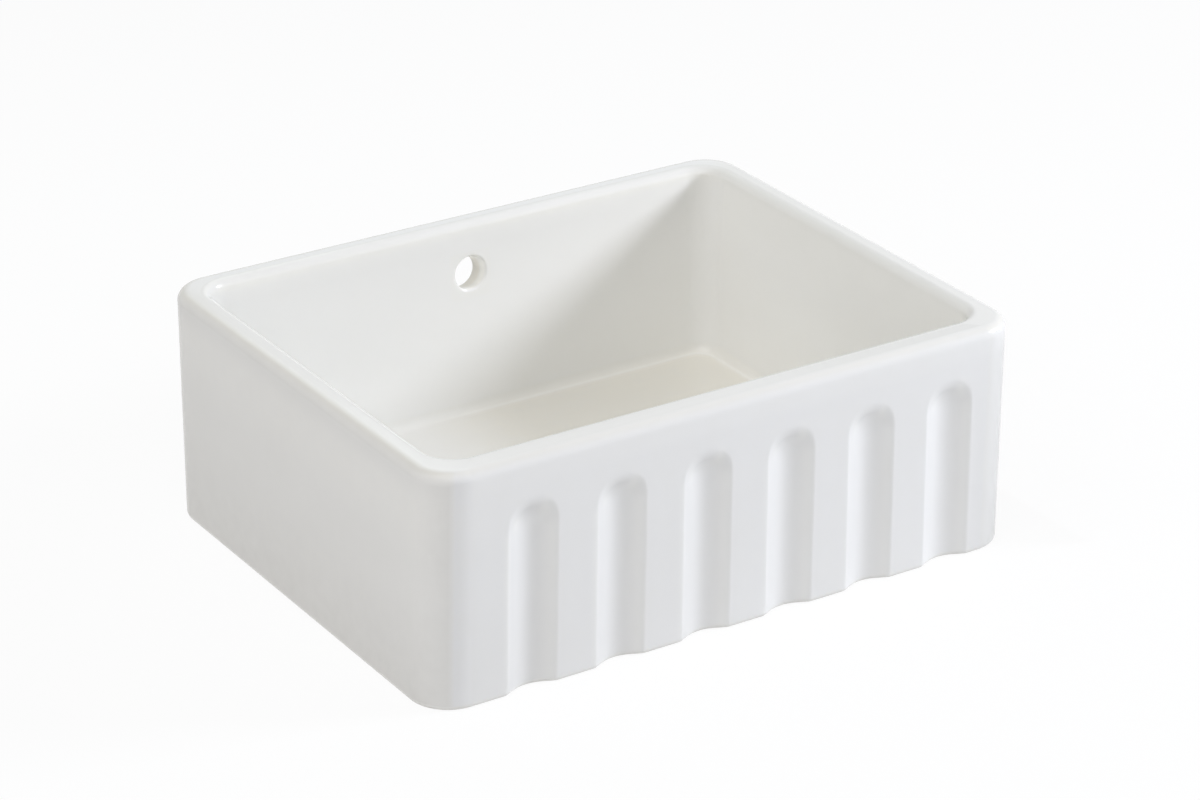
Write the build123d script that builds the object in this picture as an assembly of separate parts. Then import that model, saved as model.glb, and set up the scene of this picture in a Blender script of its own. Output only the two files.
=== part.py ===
"""Fluted apron front sink of glazed fireclay, with a basket strainer waste in its floor.

The origin is the centre of the underside. +X runs along the front, +Y to the back wall, +Z up.
"""

import math
import os

from build123d import *

os.makedirs("parts", exist_ok=True)

# ---- basin: outer block -------------------------------------------------
sink_width = 600.0
sink_depth = 480.0
sink_height = 220.0
base_splay = 2.8            # each side stands this much further out at the base
front_back_lean = 4.4       # front and back come in this much at the base
outer_corner_r = 38.0
rim_outer_r = 10.0
rim_inner_r = 8.0
base_edge_r = 4.0

# ---- basin: bowl --------------------------------------------------------
side_wall = 25.0
back_wall = 25.0
front_wall = 31.0           # thicker, because the flutes are cut into it
bowl_corner_r = 27.0
bowl_corner_r_low = 22.0
bowl_draft = 6.0            # the bowl is this much narrower at the floor, each side
floor_top = 28.0
bowl_cove_r = 10.0
dish_r = 185.0              # the floor falls from here to the waste
dish_fall = 3.0

# ---- basin: flutes ------------------------------------------------------
flute_pitch = 86.0
flute_group_x = 10.5        # the row of flutes sits a little right of centre
flute_half_width = 26.1
flute_end_land = 8.0        # least flat face between the end flutes and the rounded corners
flute_flank_angle = 25.0     # slope of the flat flanks between the rounded edge and the hollow bottom
flute_edge_r = 8.0
flute_bottom_r = 33.0
flute_top_z = 179.4
edge_start_angle = 4.0      # the flute leaves the face at this angle

# ---- basin: overflow hole ----------------------------------------------
overflow_x = 5.5
overflow_r = 16.0
overflow_z_inside = 168.5
overflow_fall = 5.0         # drop from the bowl side to the back
overflow_edge_r = 1.5

# ---- basin: waste hole --------------------------------------------------
waste_hole_r = 45.0
recess_r = 59.0
recess_depth = 3.0

# ---- strainer waste: seal and metal cup --------------------------------
flange_r = 56.5
flange_seal_inner_r = 46.5
flange_seal_r = 56.0
flange_seal_t = 1.4
cup_t = 1.2
cup_mouth_r = 43.2
cup_throat_r = 40.3
cup_throat_z = 15.5
shoulder_r = 37.2           # the basket's rim hangs over this shoulder
shoulder_z = 13.5
cup_waist_r = 36.9
cup_waist_z = 10.0
cup_low_r = 35.3
cup_low_z = -6.5
ledge_r = 34.0
ledge_z = -8.2              # the basket's seal closes on this ledge
well_mouth_r = 26.5
well_r = 24.2
well_floor_z = -18.8
drain_hole_count = 8
drain_hole_r = 3.8
drain_hole_ring_r = 16.5

# ---- strainer waste: clamp bolt ----------------------------------------
bolt_r = 4.0
bolt_hole_r = 4.3
bolt_seal_r = 9.5
bolt_seal_t = 1.5
bolt_head_r = 10.5
bolt_head_h = 8.6
bolt_socket_r = 7.5
bolt_socket_depth = 7.0
bolt_length = 40.0
thread_fit = 0.05

# ---- strainer waste: washer and body under the basin -------------------
washer_r = 57.0
washer_inner_r = 46.0
washer_t = 3.0
body_flange_r = 58.0
body_flange_t = 4.0
body_wall = 2.6
body_top_r = 46.0
body_side_r = 44.5
body_side_z = -30.0
body_cone_r = 36.0
body_cone_z = -42.0
tail_r = 23.9               # crests of the 1 1/2 inch outlet thread
tail_bore_r = 20.0
tail_top_z = -46.0
tail_end_z = -72.0
hub_r = 8.0
hub_top_z = -38.0
hub_end_z = -58.0
spoke_count = 3
spoke_w = 3.0
spoke_top_z = -44.0
insert_r = 5.6
insert_length = 12.0

# ---- strainer waste: capped overflow inlet -----------------------------
inlet_z = -26.0
inlet_r = 12.5
inlet_bore_r = 9.5
inlet_root = 36.0
inlet_end = 68.0            # from the centre line of the waste
inlet_seal_t = 2.0
inlet_seal_r = 12.3
cap_r = 16.0
cap_length = 14.0
cap_end_t = 2.5
cap_fit = 0.15
cap_rib_count = 12
cap_rib_r = 1.0

# ---- basket -------------------------------------------------------------
basket_t = 0.9
basket_rim_r = 38.8
basket_rim_z = 15.1
basket_top_r = 36.0
basket_neck_r = 35.7
basket_neck_z = 13.9
basket_low_r = 31.6
basket_low_z = -0.8
basket_floor_r = 30.0
basket_floor_z = -2.6
basket_hole_r = 1.9
wall_row_count = 3
wall_row_first_z = 2.2
wall_row_step = 4.6
wall_hole_count = 26
floor_ring_count = 4
floor_ring_first_r = 10.5
floor_ring_step = 4.9
floor_ring_first_holes = 10
floor_ring_more_holes = 5

# ---- basket: stem, seal, nut, clip, knob -------------------------------
stem_r = 3.0
stem_fit = 0.05
collar_r = 7.0
collar_t = 2.0
stem_top_z = 18.0
stem_tip_z = -15.0
spacer_r = 8.0
seal_r = 29.0
seal_top_z = -5.2
seal_bottom_z = -7.8
nut_across_flats = 8.6
nut_t = 3.0
clip_r = 7.2
clip_waist_r = 5.6
clip_top_z = -11.2
clip_end_z = -14.6
clip_slot_w = 1.4
knob_r = 10.5
knob_neck_r = 5.5
knob_bottom_z = 10.0
knob_top_z = 21.0
knob_edge_r = 1.5


def save(shape, name):
    shape.label = name
    export_step(shape, "parts/" + name + ".step")


def ring(outer_r, inner_r, low, high):
    wall = Cylinder(outer_r, high - low, align=(Align.CENTER, Align.CENTER, Align.MIN))
    hole = Cylinder(inner_r, high - low + 2, align=(Align.CENTER, Align.CENTER, Align.MIN))
    return Pos(0, 0, low) * wall - Pos(0, 0, low - 1) * hole


def disc(radius, low, high):
    return Pos(0, 0, low) * Cylinder(radius, high - low, align=(Align.CENTER, Align.CENTER, Align.MIN))


def turned(points):
    """A closed outline in (radius, z), turned once round the Z axis."""
    outline = Plane.XZ * make_face(Polyline(*points, close=True))
    return revolve(outline, Axis.Z, 360)


# ---- basin --------------------------------------------------------------
base_width = sink_width + 2 * base_splay
base_depth = sink_depth - 2 * front_back_lean
base_sketch = RectangleRounded(base_width, base_depth, outer_corner_r)
top_sketch = RectangleRounded(sink_width, sink_depth, outer_corner_r)
block = loft([base_sketch, Pos(0, 0, sink_height) * top_sketch], ruled=True)
block = fillet(block.faces().sort_by(Axis.Z)[-1].outer_wire().edges(), rim_outer_r)

# bowl pocket, carried a little above the rim so that the cut is clean
bowl_x = sink_width / 2 - side_wall
bowl_y = (sink_depth - front_wall - back_wall) / 2
bowl_mid_y = (front_wall - back_wall) / 2
above = 4.0
grow = bowl_draft * above / (sink_height - floor_top)
low_sketch = RectangleRounded(2 * (bowl_x - bowl_draft), 2 * (bowl_y - bowl_draft), bowl_corner_r_low)
high_sketch = RectangleRounded(2 * (bowl_x + grow), 2 * (bowl_y + grow), bowl_corner_r)
pocket = loft([Pos(0, bowl_mid_y, floor_top) * low_sketch,
               Pos(0, bowl_mid_y, sink_height + above) * high_sketch], ruled=True)
pocket = fillet(pocket.faces().sort_by(Axis.Z)[0].outer_wire().edges(), bowl_cove_r)
basin = block - pocket
rim_edges = basin.faces().filter_by(Plane.XY).sort_by(Axis.Z)[-1].inner_wires()[0].edges()
basin = fillet(rim_edges, rim_inner_r)

# floor dished to the waste, recess for the flange, waste hole
dish = turned([(0, floor_top + 1), (dish_r, floor_top + 1), (dish_r, floor_top),
               (recess_r, floor_top - dish_fall), (0, floor_top - dish_fall)])
recess_z = floor_top - dish_fall - recess_depth
basin = basin - dish
basin = basin - disc(recess_r, recess_z, floor_top)
basin = basin - disc(waste_hole_r, -1, floor_top)

# one flute: the same section all the way up and over the round top
turn_angle = math.radians(flute_flank_angle)
flank_end = flute_bottom_r * math.sin(turn_angle)
flank_run = flute_half_width - flute_edge_r * math.sin(turn_angle) - flank_end
flute_depth = (flute_edge_r + flute_bottom_r) * (1 - math.cos(turn_angle)) + flank_run * math.tan(turn_angle)
start = math.radians(edge_start_angle)
skim = flute_edge_r * (1 - math.cos(start))


def ogee_point(angle):
    """Point on the rounded edge (x from the flute's centre, depth) at this slope."""
    x = flute_half_width - flute_edge_r * math.sin(angle)
    return x, flute_edge_r * (1 - math.cos(angle)) - skim


edge_out = ogee_point(start)
edge_mid = ogee_point((start + turn_angle) / 2)
edge_in = ogee_point(turn_angle)
arc_mid_x = flute_bottom_r * math.sin(turn_angle / 2)
bottom_y = flute_depth - skim
arc_mid_y = bottom_y - flute_bottom_r * (1 - math.cos(turn_angle / 2))
arc_end = (flank_end, bottom_y - flute_bottom_r * (1 - math.cos(turn_angle)))
lead = 3.0
lead_x = edge_out[0] + lead
half_outline = [
    ThreePointArc((0, bottom_y), (arc_mid_x, arc_mid_y), arc_end),
    Line(arc_end, edge_in),
    ThreePointArc(edge_in, edge_mid, edge_out),
    Line(edge_out, (lead_x, -lead)),
    Line((lead_x, -lead), (0, -lead)),
    Line((0, -lead), (0, bottom_y)),
]
half_face = make_face(half_outline)
whole_face = half_face + mirror(half_face, Plane.YZ)
top_centre = flute_top_z - flute_half_width - sink_height
groove_length = sink_height + top_centre + 6
groove = Pos(0, 0, top_centre) * extrude(whole_face, amount=groove_length, dir=(0, 0, -1))
dome = revolve(half_face, Axis.Y, 360)
flute = groove + Pos(0, 0, top_centre) * dome
lean_angle = math.degrees(math.atan(front_back_lean / sink_height))
flute = Rot(lean_angle, 0, 0) * flute
# as many flutes as the flat of the front takes
flute_room = sink_width - 2 * (outer_corner_r + flute_end_land + flute_half_width + abs(flute_group_x))
flute_count = int(flute_room // flute_pitch) + 1
for index in range(flute_count):
    flute_x = flute_group_x + (index - (flute_count - 1) / 2) * flute_pitch
    basin = basin - Pos(flute_x, -sink_depth / 2, sink_height) * flute
base_face = basin.faces().filter_by(Plane.XY).sort_by(Axis.Z)[0]
basin = fillet(base_face.outer_wire().edges(), base_edge_r)

# overflow hole through the back wall, its mouth rounded
inner_y = sink_depth / 2 - back_wall - bowl_draft * (sink_height - overflow_z_inside) / (sink_height - floor_top)
fall_angle = math.degrees(math.atan(overflow_fall / back_wall))
overflow_bore = Rot(-90 - fall_angle, 0, 0) * Cylinder(overflow_r, 120)
basin = basin - Pos(overflow_x, inner_y, overflow_z_inside) * overflow_bore
mouth_edges = []
for edge in basin.edges().filter_by(GeomType.LINE, reverse=True):
    middle = edge.bounding_box().center()
    off_axis = math.hypot(middle.X - overflow_x, middle.Z - overflow_z_inside)
    if off_axis < 3 and abs(middle.Y - inner_y) < 4:
        mouth_edges.append(edge)
basin = fillet(mouth_edges, overflow_edge_r)
save(basin, "basin")

# ---- strainer waste above the floor ------------------------------------
flange_z = recess_z + flange_seal_t
save(ring(flange_seal_r, flange_seal_inner_r, recess_z, flange_z), "flange_seal")

cup_inside = [
    (flange_r, flange_z + cup_t), (cup_mouth_r, flange_z + cup_t), (cup_throat_r, cup_throat_z),
    (shoulder_r, shoulder_z), (cup_waist_r, cup_waist_z), (cup_low_r, cup_low_z), (ledge_r, ledge_z),
    (well_mouth_r, ledge_z), (well_r, well_floor_z), (bolt_hole_r, well_floor_z),
]
cup_outside = [
    (bolt_hole_r, well_floor_z - cup_t), (well_r + cup_t, well_floor_z - cup_t),
    (well_mouth_r + 0.9, ledge_z - cup_t), (ledge_r + 0.7, ledge_z - cup_t),
    (cup_low_r + cup_t, cup_low_z - 0.4), (cup_waist_r + cup_t, cup_waist_z),
    (shoulder_r + cup_t, shoulder_z - 0.8), (cup_throat_r + cup_t, cup_throat_z - 0.8),
    (cup_mouth_r + 0.4, flange_z), (flange_r, flange_z),
]
cup = turned(cup_inside + cup_outside)
drain_hole = disc(drain_hole_r, well_floor_z - 3, well_floor_z + 3)
for index in range(drain_hole_count):
    cup = cup - Rot(0, 0, index * 360 / drain_hole_count) * Pos(drain_hole_ring_r, 0, 0) * drain_hole
save(cup, "strainer_cup")

bolt_head_z = well_floor_z + bolt_seal_t
save(ring(bolt_seal_r, bolt_hole_r, well_floor_z, bolt_head_z), "bolt_seal")
bolt_top_z = bolt_head_z + bolt_head_h
bolt = disc(bolt_head_r, bolt_head_z, bolt_top_z)
bolt = bolt - disc(bolt_socket_r, bolt_top_z - bolt_socket_depth, bolt_top_z + 1)
bolt = bolt + disc(bolt_r, bolt_head_z - bolt_length, bolt_head_z)
bolt = chamfer(bolt.faces().sort_by(Axis.Z)[0].edges(), 0.8)
save(bolt, "clamp_bolt")

# ---- strainer waste under the floor ------------------------------------
save(ring(washer_r, washer_inner_r, -washer_t, 0), "underside_washer")

flange_low_z = -washer_t - body_flange_t
body_outline = turned([
    (0, -washer_t), (body_flange_r, -washer_t), (body_flange_r, flange_low_z),
    (body_top_r + 1.5, flange_low_z), (body_top_r, flange_low_z - 2), (body_side_r, body_side_z),
    (body_cone_r, body_cone_z), (tail_r + 0.6, tail_top_z + 1), (tail_r, tail_top_z),
    (tail_r, tail_end_z), (0, tail_end_z),
])
body_inside = turned([
    (0, -washer_t + 1), (body_top_r - body_wall, -washer_t + 1),
    (body_top_r - body_wall, flange_low_z - 2), (body_side_r - body_wall, body_side_z + 0.8),
    (body_cone_r - body_wall + 1, body_cone_z + 2.2), (tail_bore_r, tail_top_z + 2.7),
    (tail_bore_r, tail_end_z - 1), (0, tail_end_z - 1),
])


def along_y(radius, start_y, end_y):
    """A round bar on the inlet's axis, which runs to the back."""
    bar = Cylinder(radius, end_y - start_y, align=(Align.CENTER, Align.CENTER, Align.MIN))
    return Pos(0, start_y, inlet_z) * Rot(-90, 0, 0) * bar


waste_body = body_outline + along_y(inlet_r, inlet_root, inlet_end)
waste_body = waste_body - body_inside
waste_body = waste_body - along_y(inlet_bore_r, inlet_root - 8, inlet_end + 1)
spoke = Pos(0, 0, hub_end_z) * Box(spoke_w, tail_bore_r + 1, spoke_top_z - hub_end_z,
                                   align=(Align.CENTER, Align.MIN, Align.MIN))
hub = disc(hub_r, hub_end_z, hub_top_z)
for index in range(spoke_count):
    hub = hub + Rot(0, 0, index * 360 / spoke_count) * spoke
waste_body = waste_body + hub
insert_end_z = hub_top_z - insert_length
waste_body = waste_body - disc(insert_r, insert_end_z, hub_top_z + 1)
waste_body = waste_body - disc(bolt_r + 0.5, hub_end_z - 1, insert_end_z + 1)
save(waste_body, "waste_body")
save(ring(insert_r, bolt_r + thread_fit, insert_end_z, hub_top_z), "threaded_insert")

save(along_y(inlet_seal_r, inlet_end, inlet_end + inlet_seal_t), "inlet_seal")
cap_end = inlet_end + inlet_seal_t + cap_end_t
inlet_cap = along_y(cap_r, cap_end - cap_length, cap_end)
cap_rib = Pos(cap_r, 0, 0) * Cylinder(cap_rib_r, cap_length, align=(Align.CENTER, Align.CENTER, Align.MIN))
for index in range(cap_rib_count):
    placed_rib = Rot(0, 0, index * 360 / cap_rib_count) * cap_rib
    inlet_cap = inlet_cap + Pos(0, cap_end - cap_length, inlet_z) * Rot(-90, 0, 0) * placed_rib
inlet_cap = inlet_cap - along_y(inlet_r + cap_fit, cap_end - cap_length - 1, cap_end - cap_end_t)
save(inlet_cap, "inlet_cap")

# ---- basket -------------------------------------------------------------
stem_hole_r = stem_r + stem_fit
basket_inside = [
    (basket_rim_r, basket_rim_z + basket_t), (basket_top_r - 0.6, basket_rim_z + basket_t),
    (basket_neck_r - basket_t, basket_neck_z), (basket_low_r - basket_t, basket_low_z + 0.3),
    (basket_floor_r - 0.4, basket_floor_z + basket_t), (stem_hole_r, basket_floor_z + basket_t),
]
basket_outside = [
    (stem_hole_r, basket_floor_z), (basket_floor_r, basket_floor_z), (basket_low_r, basket_low_z),
    (basket_neck_r, basket_neck_z), (basket_top_r, basket_rim_z), (basket_rim_r, basket_rim_z),
]
basket = turned(basket_inside + basket_outside)
wall_drill = Rot(0, 90, 0) * Cylinder(basket_hole_r, 20, align=(Align.CENTER, Align.CENTER, Align.MIN))
drills = []
for row in range(wall_row_count):
    row_z = wall_row_first_z + row * wall_row_step
    for index in range(wall_hole_count):
        turn = (index + row / 2) * 360 / wall_hole_count
        drills.append(Rot(0, 0, turn) * Pos(basket_low_r - 10, 0, row_z) * wall_drill)
floor_drill = disc(basket_hole_r, basket_floor_z - 2, basket_floor_z + 3)
for ring_index in range(floor_ring_count):
    hole_count = floor_ring_first_holes + ring_index * floor_ring_more_holes
    ring_r = floor_ring_first_r + ring_index * floor_ring_step
    for index in range(hole_count):
        drills.append(Rot(0, 0, index * 360 / hole_count) * Pos(ring_r, 0, 0) * floor_drill)
basket = basket - drills
save(basket, "basket")

collar_z = basket_floor_z + basket_t
stem = disc(stem_r, stem_tip_z, stem_top_z) + disc(collar_r, collar_z, collar_z + collar_t)
stem = chamfer(stem.faces().sort_by(Axis.Z)[0].edges(), 0.6)
save(stem, "basket_stem")
save(ring(spacer_r, stem_hole_r, seal_top_z, basket_floor_z), "seal_spacer")
save(ring(seal_r, stem_hole_r, seal_bottom_z, seal_top_z), "basket_seal")
nut_sketch = RegularPolygon(nut_across_flats / 2, 6, major_radius=False) - Circle(stem_hole_r)
save(Pos(0, 0, seal_bottom_z - nut_t) * extrude(nut_sketch, nut_t), "stem_nut")

clip_mid_z = (clip_top_z + clip_end_z) / 2
clip = turned([
    (stem_hole_r, clip_end_z), (clip_waist_r, clip_end_z), (clip_r, clip_mid_z - 0.6),
    (clip_r, clip_mid_z + 0.6), (clip_waist_r, clip_top_z), (stem_hole_r, clip_top_z),
])
clip = clip - Pos(0, 0, clip_mid_z) * Box(clip_slot_w, 20, 6, align=(Align.CENTER, Align.MIN, Align.CENTER))
save(clip, "stem_clip")

knob = turned([
    (0, knob_bottom_z), (knob_neck_r, knob_bottom_z), (knob_neck_r, knob_bottom_z + 3),
    (knob_r, knob_bottom_z + 5), (knob_r, knob_top_z), (0, knob_top_z),
])
knob = fillet(knob.faces().sort_by(Axis.Z)[-1].edges(), knob_edge_r)
knob = knob - disc(stem_hole_r, knob_bottom_z - 1, stem_top_z)
save(knob, "basket_knob")
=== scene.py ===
import math
import bmesh
import bpy
import numpy as np
from mathutils import Matrix, Vector


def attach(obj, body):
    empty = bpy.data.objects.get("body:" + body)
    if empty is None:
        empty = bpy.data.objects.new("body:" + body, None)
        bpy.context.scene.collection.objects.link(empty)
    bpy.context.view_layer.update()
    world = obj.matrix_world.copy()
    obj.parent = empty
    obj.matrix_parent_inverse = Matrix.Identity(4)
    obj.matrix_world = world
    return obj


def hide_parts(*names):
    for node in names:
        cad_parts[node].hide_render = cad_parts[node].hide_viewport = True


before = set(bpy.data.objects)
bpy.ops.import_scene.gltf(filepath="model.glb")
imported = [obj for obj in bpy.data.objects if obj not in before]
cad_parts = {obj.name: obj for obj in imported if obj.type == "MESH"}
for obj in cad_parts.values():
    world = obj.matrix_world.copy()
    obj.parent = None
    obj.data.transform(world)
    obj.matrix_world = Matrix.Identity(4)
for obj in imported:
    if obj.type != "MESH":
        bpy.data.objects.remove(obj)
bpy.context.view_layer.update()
scene = bpy.context.scene
scene.view_settings.view_transform = "Standard"
mm = 0.001
print("frame loaded,", len(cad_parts), "nodes")


class Wire:
    # one socket of a node tree; + and * on it add Math nodes
    def __init__(self, tree, socket):
        self.tree = tree
        self.socket = socket

    # any node: its settings come first, then the values or links of its sockets
    def node(self, kind, settings, sockets, out=0):
        made = self.tree.nodes.new(kind)
        for name, value in settings.items():
            setattr(made, name, value)
        for name, value in sockets.items():
            if isinstance(value, Wire):
                self.tree.links.new(value.socket, made.inputs[name])
            else:
                made.inputs[name].default_value = value
        return Wire(self.tree, made.outputs[out])

    def math(self, operation, a, b=0.0):
        return self.node("ShaderNodeMath", {"operation": operation}, {0: a, 1: b})

    def __add__(self, other):
        return self.math("ADD", self, other)

    def __radd__(self, other):
        return self.math("ADD", other, self)

    def __mul__(self, other):
        return self.math("MULTIPLY", self, other)

    def __rmul__(self, other):
        return self.math("MULTIPLY", other, self)

    # 0 below low, 1 above high, straight between
    def between(self, low, high):
        return self.node("ShaderNodeMapRange", {}, {0: self, 1: low, 2: high})

    def noise(self, scale, detail=2.0, roughness=0.5):
        sockets = {"Vector": self, "Scale": scale, "Detail": detail, "Roughness": roughness}
        return self.node("ShaderNodeTexNoise", {}, sockets)

    # the piece's own number of this name at each point
    def mark(self, name):
        return self.node("ShaderNodeAttribute", {"attribute_name": name}, {}, 2)

    # this factor between two colours
    def mix(self, colourA, colourB):
        sockets = {0: self, 6: colourA, 7: colourB}
        return self.node("ShaderNodeMix", {"data_type": "RGBA"}, sockets, 2)

    def bump(self, strength, distance):
        sockets = {"Strength": strength, "Distance": distance, "Height": self}
        return self.node("ShaderNodeBump", {}, sockets)


# a material, its Principled shader and its Object coordinates; fixed values go straight on the shader
def startMaterial(name, fixed):
    made = bpy.data.materials.new(name)
    made.use_nodes = True
    shader = made.node_tree.nodes["Principled BSDF"]
    for key, value in fixed.items():
        shader.inputs[key].default_value = value
    place = made.node_tree.nodes.new("ShaderNodeTexCoord")
    return made, shader, Wire(made.node_tree, place.outputs["Object"])


def feed(shader, flows):
    for key, flow in flows.items():
        flow.tree.links.new(flow.socket, shader.inputs[key])


glazeLook = {
    "white": (0.900, 0.893, 0.860, 1),
    "cloud": (0.888, 0.880, 0.844, 1),
    # tones that the marks on the basin's points bring in; of these, the warm one is painted bounce light, the
    # pale one painted light and highlights, the dim one painted shade and the cool one the painted bluish
    # tint of the key light
    "thin": (0.895, 0.870, 0.790, 1),
    "warm": (0.930, 0.905, 0.830, 1),
    "paintedLight": (0.970, 0.960, 0.910, 1),
    "dim": (0.800, 0.790, 0.755, 1),
    "paintedCoolTint": (0.898, 0.902, 0.908, 1),
    "brown": (0.42, 0.30, 0.17, 1),
    "clay": (0.62, 0.55, 0.44, 1),
    "claySpeck": (0.40, 0.33, 0.25, 1),
    "ior": 1.5,
    "glossRoughness": 0.16, "glossSpread": 0.05, "glossScale": 25.0,
    "clayRoughness": 0.85,
    "cloudScale": 7.0, "cloudEnds": (0.35, 0.65),
    "speckScale": 700.0, "speckEnds": (0.62, 0.72),
    # a mark's strength wavers from the first number up by the second
    "markLeast": 0.6, "markSpread": 0.8, "markScale": 60.0,
    "rippleScale": 16.0, "rippleDepth": 0.0012, "rippleStrength": 0.3,
    "clayGrain": 0.12, "clayGrainScale": 400.0,
}


# white glaze with the tones of its marks laid on in this order, and bare clay where the glaze ends; the warm,
# pale, dim and cool marks paint light and shade into its colour
def makeGlaze():
    look = glazeLook
    made, shader, place = startMaterial("fireclayGlaze", {"IOR": look["ior"]})
    bare = place.mark("bare")
    cloud = place.noise(look["cloudScale"], 3.0).between(*look["cloudEnds"])
    tone = cloud.mix(look["cloud"], look["white"])
    for name in ("warm", "thin", "paintedLight", "dim", "paintedCoolTint", "brown"):
        waver = look["markLeast"] + look["markSpread"] * place.noise(look["markScale"])
        tone = (place.mark(name) * waver).mix(tone, look[name])
    speck = place.noise(look["speckScale"]).between(*look["speckEnds"])
    tone = bare.mix(tone, speck.mix(look["clay"], look["claySpeck"]))
    gloss = look["glossRoughness"] + look["glossSpread"] * place.noise(look["glossScale"])
    roughness = gloss + bare * (look["clayRoughness"] - look["glossRoughness"])
    ripple = place.noise(look["rippleScale"])
    height = ripple + look["clayGrain"] * bare * place.noise(look["clayGrainScale"])
    feed(shader, {"Base Color": tone, "Roughness": roughness,
                  "Normal": height.bump(look["rippleStrength"], look["rippleDepth"])})
    return made


# noise at (radius, z) times the pitch, whose marks run round the waste's axis
def turnedMarks(place, pitch):
    axes = place.tree.nodes.new("ShaderNodeSeparateXYZ")
    place.tree.links.new(place.socket, axes.inputs[0])
    x, y, z = (Wire(place.tree, axes.outputs[i]) for i in range(3))
    radius = place.math("SQRT", x * x + y * y)
    rings = place.node("ShaderNodeCombineXYZ", {}, {0: radius * pitch, 2: z * pitch})
    return rings.noise(1.0, 3.0, 0.6)


# darkest and lightest tone, roughness, its spread, and depth of the marks in metres
metalLook = {
    "steel": ((0.60, 0.60, 0.59, 1), (0.68, 0.68, 0.67, 1), 0.24, 0.16, 0.00002),
    "polished": ((0.80, 0.80, 0.80, 1), (0.86, 0.86, 0.86, 1), 0.05, 0.05, 0.000002),
    "brass": ((0.62, 0.44, 0.18, 1), (0.76, 0.58, 0.29, 1), 0.26, 0.18, 0.00002),
}


# metal with fine marks round the axis and a few smudges: tone half of each, roughness 0.6 marks + 0.4 smudges
def makeMetal(name):
    dark, light, roughness, spread, depth = metalLook[name]
    made, shader, place = startMaterial(name + "Metal", {"Metallic": 1.0})
    marksPitch, smudgeScale, bumpStrength = 2500.0, 60.0, 0.4
    marks = turnedMarks(place, marksPitch)
    smudge = place.noise(smudgeScale, 3.0)
    tone = (0.5 * marks + 0.5 * smudge).mix(dark, light)
    rough = roughness + spread * (0.6 * marks + 0.4 * smudge)
    feed(shader, {"Base Color": tone, "Roughness": rough, "Normal": marks.bump(bumpStrength, depth)})
    return made


# darkest and lightest tone, roughness, its spread, scale of the grain and its depth in metres
mouldedLook = {
    "whitePlastic": ((0.70, 0.70, 0.67, 1), (0.78, 0.78, 0.75, 1), 0.38, 0.12, 300.0, 0.00004),
    "clipPlastic": ((0.64, 0.60, 0.50, 1), (0.72, 0.68, 0.58, 1), 0.30, 0.10, 500.0, 0.00003),
    "blackRubber": ((0.018, 0.018, 0.018, 1), (0.045, 0.044, 0.042, 1), 0.55, 0.25, 900.0, 0.00005),
    "greyFoam": ((0.20, 0.20, 0.19, 1), (0.38, 0.38, 0.36, 1), 0.80, 0.15, 1400.0, 0.0003),
}


# moulded plastic, rubber or foam: tone of 0.6 mottle + 0.4 fine grain, roughness by the mottle
def makeMoulded(name):
    dark, light, roughness, spread, grain, depth = mouldedLook[name]
    mouldedIor, mottleScale, bumpStrength = 1.49, 45.0, 0.5
    made, shader, place = startMaterial(name, {"IOR": mouldedIor})
    mottle = place.noise(mottleScale, 4.0)
    fine = place.noise(grain, 2.0)
    tone = (0.6 * mottle + 0.4 * fine).between(0.3, 0.7).mix(dark, light)
    feed(shader, {"Base Color": tone, "Roughness": roughness + spread * mottle,
                  "Normal": fine.bump(bumpStrength, depth)})
    return made


finishes = {name: makeMetal(name) for name in metalLook}
finishes.update({name: makeMoulded(name) for name in mouldedLook})
finishes["glaze"] = makeGlaze()
print("materials made:", len(finishes))


# metres
weldReach = 0.00001


# turns the faces outwards, marks the real edges where an angle is given, and writes the mesh, all smooth
def closeMesh(work, mesh, sharpDegrees=None):
    bmesh.ops.recalc_face_normals(work, faces=work.faces)
    if sharpDegrees:
        for edge in work.edges:
            edge.smooth = len(edge.link_faces) == 2 and edge.calc_face_angle() < math.radians(sharpDegrees)
    openEdges = sum(len(edge.link_faces) != 2 for edge in work.edges)
    litres = work.calc_volume(signed=True) * 1000
    work.to_mesh(mesh)
    work.free()
    mesh.polygons.foreach_set("use_smooth", np.ones(len(mesh.polygons), bool))
    print(mesh.name, len(mesh.polygons), "faces, open edges", openEdges, "litres", round(litres, 5))


# puts an array of points (mm) and quads into a mesh and welds it
def makePiece(name, points, faces, finish, body, nodes, marks=None):
    mesh = bpy.data.meshes.new(name)
    mesh.from_pydata((points * mm).tolist(), [], faces.tolist())
    for key, values in (marks or {}).items():
        mesh.attributes.new(key, "FLOAT", "POINT").data.foreach_set("value", values)
    work = bmesh.new()
    work.from_mesh(mesh)
    bmesh.ops.remove_doubles(work, verts=work.verts, dist=weldReach)
    # points and edges that the weld left on the axis with no face
    bmesh.ops.delete(work, geom=[vert for vert in work.verts if not vert.link_faces], context="VERTS")
    bmesh.ops.delete(work, geom=[edge for edge in work.edges if not edge.link_faces], context="EDGES")
    closeMesh(work, mesh)
    mesh.materials.append(finishes[finish])
    piece = bpy.data.objects.new(name, mesh)
    scene.collection.objects.link(piece)
    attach(piece, body)
    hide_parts(*nodes)


# quads between neighbouring rows and columns of a grid of point numbers
def gridQuads(rows, columns, closeRows, closeColumns, first=0):
    row = np.arange(rows if closeRows else rows - 1)
    column = np.arange(columns if closeColumns else columns - 1)
    row, column = np.meshgrid(row, column, indexing="ij")
    nextRow = (row + 1) % rows
    nextColumn = (column + 1) % columns
    corners = (row * columns + column, row * columns + nextColumn,
               nextRow * columns + nextColumn, nextRow * columns + column)
    return np.stack(corners, -1).reshape(-1, 4) + first


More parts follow.
